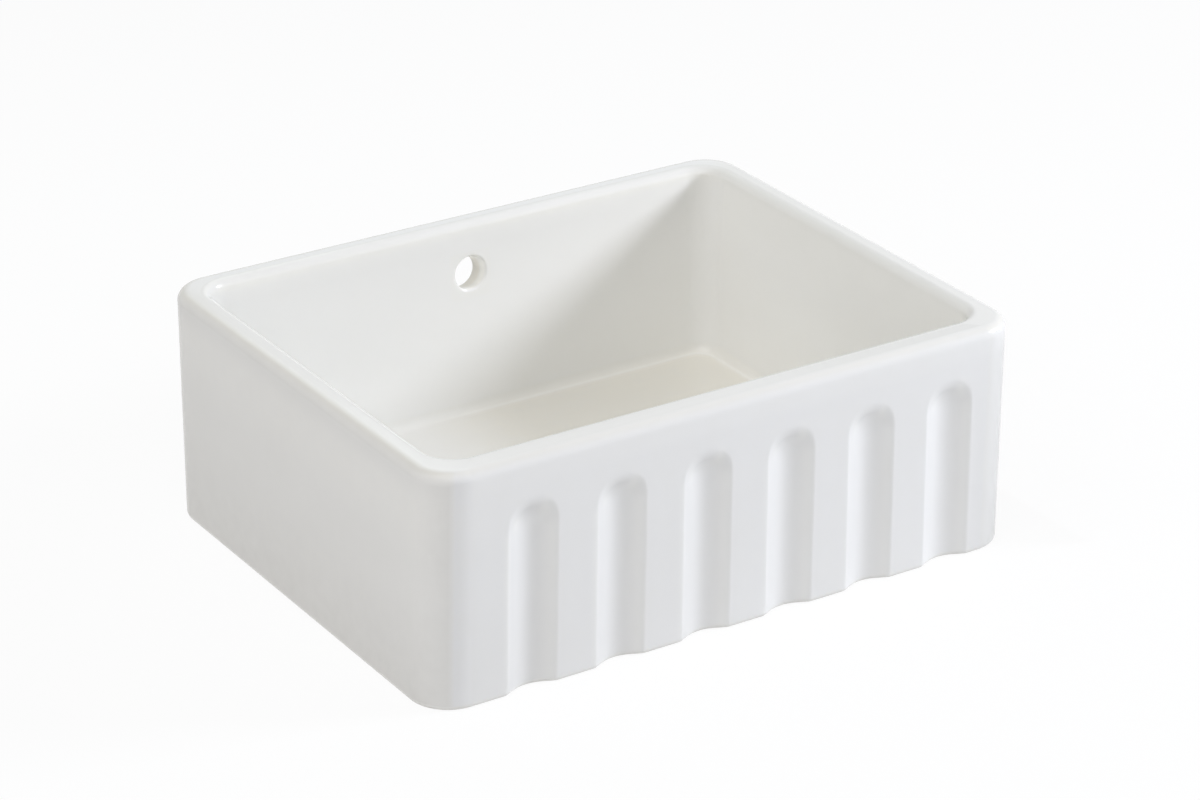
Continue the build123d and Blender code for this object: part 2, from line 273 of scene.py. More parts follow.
# sizes in mm
basin = {
    "width": 600.0, "depth": 480.0, "height": 220.0,
    "splay": 2.8, "lean": 4.4, "cornerR": 38.0,
    "rimOuterR": 10.0, "rimInnerR": 8.0, "baseR": 4.0,
    "sideWall": 25.0, "backWall": 25.0, "frontWall": 31.0,
    "bowlR": 27.0, "bowlLowR": 22.0, "draft": 6.0,
    "floorTop": 28.0, "coveR": 10.0, "dishR": 185.0, "dishFall": 3.0,
    "recessR": 59.0, "recessDepth": 3.0, "wasteR": 45.0, "lipR": 1.2,
}
flute = {
    "count": 6, "pitch": 86.0, "groupX": 10.5, "halfWidth": 26.1,
    "flankAngle": 25.0, "edgeR": 8.0, "bottomR": 33.0, "topZ": 181.8,
    # the round top: its height, the power of its outline and the share of its run that is hollow
    "domeHeight": 30.0, "domePower": 2.3, "domeHollow": 0.6,
    # each flute as it was made: how far off its place at two heights, and its top
    "highZ": 140.0, "offHigh": [-0.8, 0.2, 0.8, 0.7, -0.6, -2.4],
    "lowZ": 25.0, "offLow": [-1.5, 0.3, 1.5, 2.2, 1.9, 0.4],
    "topOff": [1.8, 0.3, -0.8, -1.4, -1.2, 0.1],
}
overflow = {
    "x": 5.5, "r": 16.0, "z": 168.5, "fall": 5.0, "lipR": 2.6,
    # the part of the wall that its mouth is drawn in: half width, and the heights that it lies between
    "patch": 24.0, "patchLow": 134.0, "patchHigh": 192.0,
    # marks in the tunnel: name, strength, and the rings from and up to which they go; the warm and pale ones
    # are painted light in the tunnel's shade
    "tones": [("brown", 0.05, 11, 16), ("warm", 1.0, 11, 18), ("paintedLight", 0.9, 9, 11)],
}
# columns and rows of the basin's grid, in mm or as shares of the way over a part
grid = {
    # columns: off a flute's edge (from, to, count), into its hollow (from, count), and on the lands
    "fluteEdge": (0.8, -3.6, 8), "fluteHollow": (-5.0, 16), "lands": [4.0, 10.0, 17.0, 24.0, 30.0],
    # columns at both ends of the front (gap, count), and how far outside the flutes' middles none shifts
    "leftEnd": (4.0, 7), "rightEnd": (3.0, 4), "steady": (30.0, 28.0),
    "corner": 18, "side": 24, "patch": 19, "besidePatch": 12, "patchGap": 8.0,
    # rows
    "underside": (0.0, 0.03, 0.12, 0.3, 0.55, 0.8, 0.95),
    "low": [5, 9, 16, 30, 50, 75, 100, 120, 134, 142], "high": [186, 191, 195, 201, 206, 209],
    "dome": 1.1, "pastDome": (3.0, 3.2),
    "band": (0.12, 0.5, 0.88),
    "lowBowl": [120, 100, 80, 60, 46, 40],
    "floor": (0.03, 0.1, 0.2, 0.33, 0.47, 0.61, 0.74, 0.86, 0.95, 1.0),
    "mouth": (0.3, 0.55, 0.75, 0.9, 1.0), "lip": (18, 36, 54, 72, 90), "bore": (0.25, 0.5, 0.75),
    # rows round the rounded parts, both ends counted
    "baseEdge": 7, "rimOutside": 13, "rimInside": 11, "cove": 16,
}
# tones of the glaze as mark, strength and share of the columns, then ramps (start, end), swells (middle,
# width) and waves (times, start) that multiply it: in z on walls, in degrees along the ring's way on edges.
# But for bare clay and thin glaze, these tones are painted light and shade: painted shade, painted light
# and highlights, painted warm bounce light and the painted tint of the bluish key light
tones = {
    "underside": [("bare", 1.0, "all")],
    "baseEdge": [("thin", 0.3, "all", ("wave", 2, 45)), ("bare", 1.0, "all", ("ramp", 47.7465, 0))],
    # painted shade low on the left and front walls and before the front left corner's turn, painted light
    # past it, and painted light and shade across the flutes and their round tops; the cool tone is the
    # painted tint of the key light
    "walls": [
        ("paintedCoolTint", 1.0, "coolTintShare"),
        ("dim", 0.9, "leftAndFront", ("ramp", 105, 5)),
        ("dim", 0.15, "left", ("ramp", 199, 209)),
        ("dim", 0.6, "beforeLine", ("ramp", -100, 150)),
        ("dim", 0.5, "pastMiddle", ("ramp", 158, 148)),
        ("dim", 0.6, "domeMiddle", ("swell", 168, 8)),
        ("paintedLight", 0.45, "leftAndFront", ("ramp", 130, 170), ("ramp", 205, 190)),
        ("paintedLight", 0.35, "front", ("ramp", 190, 202)),
        ("paintedLight", 0.65, "afterLine", ("ramp", 0, 120)),
        ("paintedLight", 0.5, "rightFlank", ("ramp", 158, 148)),
        ("paintedLight", 0.8, "leftEdge", ("ramp", 158, 148)),
        ("paintedLight", 0.9, "domeRight", ("swell", 168, 9)),
        ("paintedLight", 0.9, "domeLeft", ("swell", 159, 8)),
    ],
    # on the rim's outer edge: the thin glaze's cream, the painted tint of the key light, painted shade at the
    # front and left, and painted light at the front
    "rimOutside": [
        ("thin", 0.6, "all", ("swell", 55, 18)),
        ("paintedCoolTint", 1.0, "coolTintShare", ("wave", 1, 0)),
        ("dim", 0.4, "front", ("swell", 48, 22)),
        ("dim", 0.5, "left", ("ramp", 75, 45)),
        ("paintedLight", 0.35, "front", ("ramp", 20, 0)),
    ],
    # painted light on the rim's flat band, most at the back, and painted shade at its front right
    "band": [
        ("paintedLight", 0.9, "back"), ("paintedLight", 0.3, "right"), ("paintedLight", 0.15, "front"),
        ("paintedCoolTint", 0.5, "back"), ("dim", 0.5, "frontRight"),
    ],
    # painted highlight along the left rim's inner edge, and painted light and painted shade at the back
    "rimInside": [
        ("paintedLight", 1.0, "left", ("swell", 28, 14)),
        ("paintedLight", 0.6, "back", ("ramp", 55, 75)),
        ("dim", 0.3, "back", ("wave", 2, 0)),
    ],
    # painted tint of the key light on the back and right walls, and painted light in the front right corner
    # and at the top of the back wall
    "bowl": [
        ("paintedCoolTint", 0.18, "backAndRight"),
        ("paintedLight", 1.0, "bowlRight", ("ramp", 150, 200)),
        ("paintedLight", 0.5, "back", ("ramp", 196, 212)),
    ],
    # painted warm bounce light in the cove, and a painted light line along its crease
    "cove": [("warm", 1.0, "warmSide", ("ramp", 0, 90)), ("paintedLight", 1.0, "warmSide", ("swell", 57, 8))],
    # painted warm bounce light and the thin glaze's cream on the recess's lip
    "recessLip": [("warm", 1.0, "all"), ("thin", 0.6, "all")],
    "wasteHole": [("bare", 0.6, "all")],
}
# upright bands of painted light and painted shade on each flute, lit by the key light or in its shadow: how
# far right of its middle and how wide, mm, and whether the row of them fades to the right
fluteTones = {
    "leftEdge": (-25, 3, True), "pastMiddle": (5, 6, True), "rightFlank": (19, 6, False),
    "domeLeft": (-15, 5, False), "domeMiddle": (-2, 7, True), "domeRight": (12, 5, False),
}
# the rest of the columns' shares: ramps in mm, or in shares of the way round the front left corner; they
# place the painted shade, painted light, painted cool tint and painted warm bounce light
toneEnds = {
    "frontLeft": 0.5, "frontRight": (0, 250), "fadeRight": (200, -200),
    "paintedShadeRise": (0, 0.5), "paintedShadeEnd": (0.71, 0.66), "paintedLightStart": (0.67, 0.72), "paintedLightEnd": (1.02, 0.82),
    "frontCool": 0.28, "cornerCool": (1.9, 1.6), "bowlRight": 0.45, "floorWarm": (-75, 25), "leastWarm": 0.1,
}
halfRun = basin["width"] / 2 - basin["cornerR"]
fluteMiddles = flute["groupX"] + (np.arange(flute["count"]) - (flute["count"] - 1) / 2) * flute["pitch"]


# 0 at start, 1 at end and past it, straight between
def ramp(place, start, end):
    return np.clip((place - start) / (end - start), 0, 1)


# bell exp(-((place - middle) / width)^2)
def swell(place, middle, width):
    return np.exp(-((place - middle) / width) ** 2)


# cosine of so many times the angle from start, in degrees, and never less than 0
def wave(place, times, start):
    return np.maximum(0, np.cos(np.radians(times * (place - start))))


shapes = {"ramp": ramp, "swell": swell, "wave": wave}


# section of a flute at u from its middle: hollow D - R + sqrt(R R - u u), flat flank at the given slope,
# rounded edge e - sqrt(e e - (w - u)(w - u))
def fluteSection(u, edgeR, bottomR, angle):
    half = flute["halfWidth"]
    hollowEnd, edgeEnd = bottomR * math.sin(angle), half - edgeR * math.sin(angle)
    depth = (edgeR + bottomR) * (1 - math.cos(angle)) + (edgeEnd - hollowEnd) * math.tan(angle)
    hollow = depth - bottomR + np.sqrt(bottomR ** 2 - np.clip(u, 0, hollowEnd) ** 2)
    edge = edgeR - np.sqrt(edgeR ** 2 - np.clip(half - u, 0, edgeR * math.sin(angle)) ** 2)
    flank = edge + (edgeEnd - np.clip(u, hollowEnd, edgeEnd)) * math.tan(angle)
    return np.where(u < hollowEnd, hollow, flank)


fluteFlank = (flute["edgeR"], flute["bottomR"], math.radians(flute["flankAngle"]))
fluteDeepest = float(fluteSection(0.0, *fluteFlank))


# how far each flute's middle line is off its place at height z
def fluteOff(z):
    low = (flute["highZ"] - z) / (flute["highZ"] - flute["lowZ"])
    return np.array(flute["offHigh"]) * (1 - low) + np.array(flute["offLow"]) * low


# depth of the flutes at (x, z): over the round top u = (|x|^n + up^n)^(1/n), and the section goes over from
# the flank's to that of two arcs of one slope, 2 atan(depth / half width), by the share of up
def fluteDepth(x, z):
    nearest = np.abs(np.subtract.outer(x, fluteMiddles)).argmin(-1)
    top = flute["topZ"] + np.array(flute["topOff"])[nearest]
    half, power = flute["halfWidth"], flute["domePower"]
    up = np.maximum(z - top + flute["domeHeight"], 0) * half / flute["domeHeight"]
    across = np.abs(x - (fluteMiddles + fluteOff(z))[nearest])
    u = (across ** power + up ** power) ** (1 / power)
    share = np.clip(up / np.maximum(u, 0.01), 0, 1) ** power
    turn = 2 * math.atan(fluteDeepest / half)
    arcs = half / math.sin(turn)
    side = fluteSection(u, *fluteFlank)
    over = fluteSection(u, (1 - flute["domeHollow"]) * arcs, flute["domeHollow"] * arcs, turn)
    return (1 - share) * side + share * over


# columns round the basin: which side each is on (0 front, 1 its right corner, 2 right, 3 corner, 4 back,
# 5 corner, 6 left, 7 front left corner), and how far along it
def makeColumns():
    half = flute["halfWidth"]
    edgeFrom, edgeTo, edgeCount = grid["fluteEdge"]
    hollowFrom, hollowCount = grid["fluteHollow"]
    leftGap, leftCount = grid["leftEnd"]
    rightGap, rightCount = grid["rightEnd"]
    offsets = np.concatenate([np.linspace(half + edgeFrom, half + edgeTo, edgeCount),
                              np.linspace(half + hollowFrom, 0, hollowCount)])
    offsets = np.concatenate([-offsets, offsets[:-1]])
    flutes = np.add.outer(fluteMiddles, offsets).ravel()
    lands = (fluteMiddles[:-1, None] + half + np.array(grid["lands"])).ravel()
    leftEnd = np.linspace(-halfRun, fluteMiddles[0] - half - leftGap, leftCount)
    rightEnd = np.linspace(fluteMiddles[-1] + half + rightGap, halfRun, rightCount)
    front = np.sort(np.concatenate([flutes, lands, leftEnd, rightEnd]))
    corner = np.linspace(0, 1, grid["corner"] + 2)[1:-1]
    side = np.linspace(0, 1, grid["side"])
    patch = overflow["x"] + np.linspace(overflow["patch"], -overflow["patch"], grid["patch"])
    gap, beside = grid["patchGap"], grid["besidePatch"]
    back = np.concatenate([np.linspace(halfRun, patch[0] + gap, beside), patch,
                           np.linspace(patch[-1] - gap, -halfRun, beside)])
    runs = [front, corner, side, corner, back, corner, side, corner]
    sides = np.repeat(np.arange(len(runs)), [len(run) for run in runs])
    first = sum(len(run) for run in runs[:4]) + beside
    return sides, np.concatenate(runs), first, first + len(patch) - 1


columnSide, columnPlace, patchFirst, patchLast = makeColumns()
columnCount = len(columnSide)


# rounded rectangle through the columns, with the way inwards at each point: straight runs, and quarter
# circles x = cx + r cos a, y = cy + r sin a
def roundedRing(halfX, frontY, backY, r):
    x, y = np.zeros(columnCount), np.zeros(columnCount)
    inX, inY = np.zeros(columnCount), np.zeros(columnCount)
    run = halfX - r
    squeeze = min(1, run / halfRun)
    leftSteady, rightSteady = grid["steady"]
    steady = np.array([fluteMiddles[0] - leftSteady, fluteMiddles[-1] + rightSteady])
    frontX = np.interp(columnPlace, [-halfRun, *steady, halfRun], [-run, *(steady * squeeze), run])
    alongSide = (backY - frontY - 2 * r) * columnPlace
    straight = {0: (frontX, frontY, 0, 1), 2: (halfX, frontY + r + alongSide, -1, 0),
                4: (columnPlace * run / halfRun, backY, 0, -1), 6: (-halfX, backY - r - alongSide, 1, 0)}
    for side, values in straight.items():
        on = columnSide == side
        x[on], y[on], inX[on], inY[on] = (np.broadcast_to(v, columnCount)[on] for v in values)
    # middle of each quarter circle, and the angle where it starts, degrees
    centres = {1: (run, frontY + r, -90), 3: (run, backY - r, 0),
               5: (-run, backY - r, 90), 7: (-run, frontY + r, 180)}
    for side, (cx, cy, start) in centres.items():
        on = columnSide == side
        angle = np.radians(start + 90 * columnPlace[on])
        inX[on], inY[on] = -np.cos(angle), -np.sin(angle)
        x[on], y[on] = cx - r * inX[on], cy - r * inY[on]
    return x, y, inX, inY


# outer skin at height z, moved in along its own normal, with the flutes sunk into the front
def outerRing(z, inset):
    down = (basin["height"] - z) / basin["height"]
    halfX = basin["width"] / 2 + basin["splay"] * down
    halfY = basin["depth"] / 2 - basin["lean"] * down
    x, y, inX, inY = roundedRing(halfX, -halfY, halfY, basin["cornerR"])
    front = columnSide == 0
    ends = [-halfX + basin["cornerR"], *fluteMiddles, halfX - basin["cornerR"]]
    x = x + front * np.interp(x, ends, [0, *fluteOff(z), 0])
    step = 0.05
    slope = (fluteDepth(x + step, z) - fluteDepth(x - step, z)) / (2 * step)
    y = y + front * fluteDepth(x, z)
    length = np.hypot(1, slope)
    inX = np.where(front, -slope / length, inX)
    inY = np.where(front, 1 / length, inY)
    return np.stack([x + inX * inset, y + inY * inset, np.full(columnCount, z)], -1)


# bowl wall at height z, moved in by inset; its corners tighten towards the floor
def bowlRing(z, inset):
    down = (basin["height"] - z) / (basin["height"] - basin["floorTop"])
    shrink = basin["draft"] * down + inset
    r = basin["bowlR"] + (basin["bowlLowR"] - basin["bowlR"]) * down - inset
    frontY = -basin["depth"] / 2 + basin["frontWall"] + shrink
    backY = basin["depth"] / 2 - basin["backWall"] - shrink
    x, y, _, _ = roundedRing(basin["width"] / 2 - basin["sideWall"] - shrink, frontY, backY, r)
    return np.stack([x, y, np.full(columnCount, z)], -1)


# circle round the waste, each point in the direction of the floor's edge point
def wasteRing(r, z):
    angle = np.arctan2(floorEdge[:, 1], floorEdge[:, 0])
    return np.stack([r * np.cos(angle), r * np.sin(angle), np.full(columnCount, z)], -1)


# y of the bowl's back wall and of the basin's back at height z
def bowlBackY(z):
    down = (basin["height"] - z) / (basin["height"] - basin["floorTop"])
    return basin["depth"] / 2 - basin["backWall"] - basin["draft"] * down


def outerBackY(z):
    return basin["depth"] / 2 - basin["lean"] * (basin["height"] - z) / basin["height"]


# rings from a patch's border to a round mouth on the same wall, then over the mouth's rounded lip: straight
# blends border + t (mouth - border), then a quarter circle of the lip's radius
def mouthRings(border, middleZ, wallY, inward):
    angle = np.arctan2(border[:, 2] - middleZ, border[:, 0] - overflow["x"])
    tall = math.hypot(1, overflow["fall"] / basin["backWall"])
    lip = overflow["lipR"]

    def ringOf(grow):
        x = overflow["x"] + (overflow["r"] + grow) * np.cos(angle)
        z = middleZ + (overflow["r"] + grow) * tall * np.sin(angle)
        return np.stack([x, wallY(z), z], -1)

    rings = []
    for t in grid["mouth"]:
        ring = border + t * (ringOf(lip) - border)
        ring[:, 1] = wallY(ring[:, 2])
        rings.append(ring)
    for a in np.radians(grid["lip"]):
        ring = ringOf(lip * (1 - math.sin(a)))
        ring[:, 1] += inward * lip * (1 - math.cos(a))
        rings.append(ring)
    return rings


# painted warm bounce light on the floor, where the bowl's shade lies: rises from the left to the right
def paintedFloorBounce(x):
    return np.maximum(toneEnds["leastWarm"], ramp(x, *toneEnds["floorWarm"]))


# share that each column has in every place that the tones name: how far it looks left, back or right, the
# upright line at the front left corner, which goes from painted shade to painted light, and the swells across
# the flutes
def makeShares():
    halfX, halfY = basin["width"] / 2, basin["depth"] / 2
    x, _, inX, inY = roundedRing(halfX, -halfY, halfY, basin["cornerR"])
    front = columnSide == 0
    left, back, right = (np.clip(way, 0, 1) for way in (inX, -inY, -inX))
    turn = columnPlace * (columnSide == 7)
    pastLine = ramp(turn, *toneEnds["paintedLightStart"])
    coolest, coolFall = toneEnds["cornerCool"]
    made = {
        "all": 1.0, "front": front, "left": left, "back": back, "right": right,
        "leftAndFront": np.maximum(left, toneEnds["frontLeft"] * front * ramp(x, 0, -halfRun)),
        "frontRight": front * ramp(columnPlace, *toneEnds["frontRight"]),
        "backAndRight": np.maximum(back, right),
        "beforeLine": ramp(turn, *toneEnds["paintedShadeRise"]) * ramp(turn, *toneEnds["paintedShadeEnd"]),
        "afterLine": pastLine * ramp(turn, *toneEnds["paintedLightEnd"]),
        "coolTintShare": np.where(front, toneEnds["frontCool"], pastLine * (coolest - coolFall * turn)),
        "bowlRight": (columnSide == 1) + toneEnds["bowlRight"] * right * (columnSide == 2),
        "warmSide": paintedFloorBounce(floorEdge[:, 0]),
    }
    nearest = np.abs(np.subtract.outer(columnPlace, fluteMiddles)).argmin(-1)
    across = np.where(front, columnPlace - fluteMiddles[nearest], np.inf)
    fade = ramp(columnPlace, *toneEnds["fadeRight"])
    for name, (middle, width, fades) in fluteTones.items():
        made[name] = swell(across, middle, width) * (fade if fades else 1.0)
    return made


floorEdge = bowlRing(basin["floorTop"], basin["coveR"])
shares = makeShares()
domeLow, domeHigh = grid["pastDome"]
fluteLevels = np.arange(flute["topZ"] - flute["domeHeight"] - domeLow, flute["topZ"] + domeHigh, grid["dome"])
levels = np.concatenate([grid["low"], fluteLevels, grid["high"]])
inBowl = (levels > grid["lowBowl"][0]) & (levels < grid["high"][-1])
bowlLevels = np.concatenate([levels[inBowl][::-1], grid["lowBowl"]])
markNames = ("thin", "bare", "warm", "paintedLight", "dim", "paintedCoolTint", "brown")


# adds a ring and its marks: each the sum of strength * share of the columns * shapes at the ring's place
def addRing(skin, ring, region, place=0.0, **extra):
    given = dict(extra)
    for mark, strength, share, *factors in tones.get(region, []):
        level = strength * math.prod(shapes[kind](place, first, second) for kind, first, second in factors)
        given[mark] = given.get(mark, 0.0) + level * shares[share]
    skin["rings"].append(ring)
    for name in markNames:
        skin[name].append(np.broadcast_to(given.get(name, 0.0), columnCount))


# outside from the waste hole's edge over the underside and the base edge, a quarter circle, up the walls
def addOutside(skin):
    foot = outerRing(0.0, basin["baseR"])
    wasteEdge = wasteRing(basin["wasteR"] + basin["lipR"], 0.0)
    for t in grid["underside"]:
        addRing(skin, wasteEdge + t * (foot - wasteEdge), "underside")
    r = basin["baseR"]
    for degrees in np.linspace(0, 90, grid["baseEdge"]):
        a = math.radians(degrees)
        addRing(skin, outerRing(r * (1 - math.cos(a)), r * (1 - math.sin(a))), "baseEdge", degrees)
    for z in levels:
        addRing(skin, outerRing(z, 0.0), "walls", z)


# rim: outer quarter circle, flat band, inner quarter circle
def addRim(skin):
    top, outerR, innerR = basin["height"], basin["rimOuterR"], basin["rimInnerR"]
    for degrees in np.linspace(0, 90, grid["rimOutside"])[1:]:
        a = math.radians(degrees)
        ring = outerRing(top - outerR * (1 - math.sin(a)), outerR * (1 - math.cos(a)))
        addRing(skin, ring, "rimOutside", degrees)
    outerTop, innerTop = skin["rings"][-1], bowlRing(top, -innerR)
    for t in grid["band"]:
        addRing(skin, outerTop + t * (innerTop - outerTop), "band")
    for degrees in np.linspace(0, 90, grid["rimInside"]):
        a = math.radians(degrees)
        ring = bowlRing(top - innerR * (1 - math.cos(a)), -innerR * (1 - math.sin(a)))
        addRing(skin, ring, "rimInside", degrees)


# bowl: walls, cove, floor that falls once inside the dish, then recess and waste hole with their lips
def addBowl(skin):
    for z in bowlLevels:
        addRing(skin, bowlRing(z, 0.0), "bowl", z)
    coveR, coveTop = basin["coveR"], basin["floorTop"] + basin["coveR"]
    for degrees in np.linspace(0, 90, grid["cove"]):
        a = math.radians(degrees)
        ring = bowlRing(coveTop - coveR * math.sin(a), coveR * (1 - math.cos(a)))
        addRing(skin, ring, "cove", degrees)
    dishLow = basin["floorTop"] - basin["dishFall"]
    lip = wasteRing(basin["recessR"] + basin["lipR"], dishLow)
    for t in grid["floor"]:
        ring = floorEdge + t * (lip - floorEdge)
        share = ramp(np.hypot(ring[:, 0], ring[:, 1]), basin["dishR"], basin["recessR"])
        ring[:, 2] = basin["floorTop"] - basin["dishFall"] * share
        # painted warm bounce light on the floor
        addRing(skin, ring, "floor", warm=paintedFloorBounce(ring[:, 0]))
    recessZ = dishLow - basin["recessDepth"]
    r, lipR, holeR = basin["recessR"], basin["lipR"], basin["wasteR"]
    for a in np.radians([30, 60, 90]):
        ring = wasteRing(r + lipR * (1 - math.sin(a)), dishLow - lipR * (1 - math.cos(a)))
        addRing(skin, ring, "recessLip")
    # circles in (radius, z): the recess's soft corner, its floor, and the hole, whose lips have one circle
    # midway round them
    soft, seat, midway = 0.5, 4.0, 0.35
    steps = [(r, recessZ + soft), (r - soft, recessZ), (holeR + seat, recessZ), (holeR + lipR, recessZ),
             (holeR + midway, recessZ - midway), (holeR, recessZ - lipR), (holeR, recessZ / 2),
             (holeR, lipR), (holeR + midway, midway)]
    for radius, z in steps:
        addRing(skin, wasteRing(radius, z), "wasteHole" if z < recessZ else "recess")


# point numbers round a patch of the grid: up its first column, along its top row, down and back
def borderOf(rows):
    across = np.arange(patchFirst, patchLast + 1)
    return np.concatenate([rows[:-1] * columnCount + patchFirst, rows[-1] * columnCount + across[:-1],
                           rows[:0:-1] * columnCount + patchLast, rows[0] * columnCount + across[:0:-1]])


# rings of the overflow from the bowl's patch to the back's
def makeTunnel(points, innerBorder, outerBorder):
    thickness = outerBackY(overflow["z"]) - bowlBackY(overflow["z"])
    farZ = overflow["z"] - overflow["fall"] * thickness / basin["backWall"]
    fromBowl = mouthRings(points[innerBorder], overflow["z"], bowlBackY, 1)
    fromBack = mouthRings(points[outerBorder], farZ, outerBackY, -1)
    bore = [fromBowl[-1] + t * (fromBack[-1] - fromBowl[-1]) for t in grid["bore"]]
    return fromBowl + bore + fromBack[::-1]


# the basin is one grid of rings that closes on itself; the overflow's patch comes out of both skins of the
# back wall, and the tunnel's rings join the two gaps
def makeBasin():
    skin = {name: [] for name in ("rings", *markNames)}
    addOutside(skin)
    wallFirst = len(skin["rings"]) - len(levels)
    addRim(skin)
    bowlFirst = len(skin["rings"])
    addBowl(skin)
    points = np.concatenate(skin["rings"])
    quads = gridQuads(len(skin["rings"]), columnCount, True, True)

    patchLevels = np.flatnonzero((levels > overflow["patchLow"]) & (levels <= overflow["patchHigh"]))
    outerRows = wallFirst + patchLevels
    innerRows = bowlFirst + np.array([np.flatnonzero(bowlLevels == levels[i])[0] for i in patchLevels])
    quadRow, quadColumn = np.divmod(np.arange(len(quads)), columnCount)
    cut = np.isin(quadRow, outerRows[:-1]) | np.isin(quadRow, innerRows[1:])
    cut &= (quadColumn >= patchFirst) & (quadColumn < patchLast)
    outerBorder, innerBorder = borderOf(outerRows), borderOf(innerRows)
    tunnel = makeTunnel(points, innerBorder, outerBorder)
    size = len(innerBorder)
    between = [len(points) + i * size + np.arange(size) for i in range(len(tunnel))]
    numbers = [innerBorder, *between, outerBorder]
    joins = [np.stack([a, np.roll(a, -1), np.roll(b, -1), b], -1) for a, b in zip(numbers, numbers[1:])]
    allPoints = np.concatenate([points] + tunnel)
    faces = np.concatenate([quads[~cut]] + joins)
    used = np.unique(faces)
    newNumber = np.zeros(len(allPoints), int)
    newNumber[used] = np.arange(len(used))
    inTunnel = {name: np.zeros(len(tunnel)) for name in markNames}
    for name, strength, first, end in overflow["tones"]:
        inTunnel[name][first:end] = strength
    onPoints = {name: np.concatenate(skin[name] + [np.repeat(inTunnel[name], size)])[used]
                for name in markNames}
    makePiece("glazedBasin", allPoints[used], newNumber[faces], "glaze", "sink", ["basin"], onPoints)


makeBasin()


basketNodes = [
    "basket", "basket_stem", "seal_spacer", "basket_seal", "stem_nut", "stem_clip", "basket_knob",
]


def bodyOf(node):
    return "lift_out_basket" if node in basketNodes else "sink"


# outline in (radius, z) with its corners P drawn as (1 - s)^2 A + 2 s (1 - s) P + s^2 B
def softOutline(corners, soft, steps=5):
    p = np.array(corners, float)
    before, after = np.roll(p, 1, 0) - p, np.roll(p, -1, 0) - p
    most = 0.45
    reachA, reachB = (np.minimum(soft / np.linalg.norm(v, axis=1), most)[:, None] for v in (before, after))
    a, b = (v[:, None] for v in (p + before * reachA, p + after * reachB))
    s = np.linspace(0, 1, steps)[None, :, None]
    curve = (1 - s) ** 2 * a + 2 * s * (1 - s) * p[:, None] + s ** 2 * b
    onAxis = (p[:, 0] < 0.001)[:, None, None]
    return np.where(onAxis, p[:, None], curve).reshape(-1, 2)


# the same closed outline with a point at least every step along it
def finer(outline, step):
    ring = np.concatenate([outline, outline[:1]])
    along = np.concatenate([[0], np.cumsum(np.linalg.norm(np.diff(ring, axis=0), axis=1))])
    places = np.unique(np.round(np.concatenate([along[:-1], np.arange(0, along[-1], step)]), 4))
    return np.stack([np.interp(places, along, ring[:, i]) for i in range(2)], -1)


# helical groove of a thread: 1 at its root and 0 at its crest, fading out over a pitch at both ends; its
# section is clip(steep |2 turn - 1| - crest, 0, 1)
def threadGroove(z, angle, topZ, endZ, pitch):
    steep, crest = 2.4, 0.7
    turn = (z / pitch - angle / (2 * math.pi)) % 1
    fade = np.clip(np.minimum(topZ - z, z - endZ) / pitch, 0, 1)
    return np.clip(steep * np.abs(2 * turn - 1) - crest, 0, 1) * fade


# an outline turned once round the waste's axis: (r cos a, r sin a, z), with a thread's groove cut from r at
# its radius, and a knurl's depth (1 + sin(teeth a)) / 2 where r is past its own
def turnedPiece(node, finish, corners, soft, segments=64, step=4.0, thread=None, knurl=None):
    outline = finer(softOutline(corners, soft), step)
    angle = np.arange(segments) * 2 * np.pi / segments
    r, z, a = (np.broadcast_to(v, (len(outline), segments)) for v in (outline[:, :1], outline[:, 1:], angle))
    if thread:
        radius, topZ, endZ, pitch, depth = thread
        r = r - depth * (np.abs(r - radius) < 0.05) * threadGroove(z, a, topZ, endZ, pitch)
    if knurl:
        pastR, teeth, depth = knurl
        r = r - depth * (r > pastR) * (1 + np.sin(teeth * a)) / 2
    points = np.stack([r * np.cos(a), r * np.sin(a), z], -1).reshape(-1, 3)
    quads = gridQuads(len(outline), segments, True, True)
    makePiece(node + "Turned", points, quads, finish, bodyOf(node), [node])


# corners in (radius, z) and how far each is softened, mm
turned = {
    "flange_seal": {
        "finish": "greyFoam", "soft": 0.6,
        "corners": [(46.5, 22), (56, 22), (56, 23.4), (46.5, 23.4)],
    },
    "bolt_seal": {
        "finish": "blackRubber", "soft": 0.5,
        "corners": [(4.3, -18.8), (9.5, -18.8), (9.5, -17.3), (4.3, -17.3)],
    },
    "underside_washer": {
        "finish": "blackRubber", "soft": 0.8,
        "corners": [(46, -3), (57, -3), (57, 0), (46, 0)],
    },
    "seal_spacer": {
        "finish": "whitePlastic", "soft": 0.4,
        "corners": [(3.05, -5.2), (8, -5.2), (8, -2.6), (3.05, -2.6)],
    },
    "basket_seal": {
        "finish": "blackRubber", "soft": 0.5, "segments": 96,
        "corners": [(3.05, -7.8), (27.5, -7.8), (29, -7.0), (29, -6.4), (27, -5.2), (3.05, -5.2)],
    },
    "basket_stem": {
        "finish": "steel", "soft": 0.3, "segments": 48,
        "corners": [(0, -15), (2.6, -15), (3, -14.4), (3, -1.7), (7, -1.7), (7, 0.3), (3, 0.3), (3, 18),
                    (0, 18)],
    },
    "basket_knob": {
        "finish": "polished", "soft": 1.1, "segments": 96,
        "corners": [(0, 18), (3.05, 18), (3.05, 10), (5.5, 10), (5.5, 13), (10.5, 15.2), (10.5, 21),
                    (7, 21), (0, 20.4)],
    },
    "threaded_insert": {
        "finish": "brass", "soft": 0.2, "segments": 144, "step": 1.0,
        "corners": [(4.05, -50), (5.6, -50), (5.6, -38), (4.05, -38)],
        "knurl": (5.3, 24, 0.14),
    },
    "clamp_bolt": {
        "finish": "steel", "soft": 0.35, "segments": 48, "step": 0.2,
        "corners": [(0, -57.3), (3.2, -57.3), (4, -56.5), (4, -17.3), (10.5, -17.3), (10.5, -8.7),
                    (7.5, -8.7), (7.5, -15.7), (0, -15.7)],
        # radius, top, end, pitch and depth
        "thread": (4.0, -30.0, -56.6, 1.25, 0.7),
    },
}
for node, look in turned.items():
    turnedPiece(node, **look)


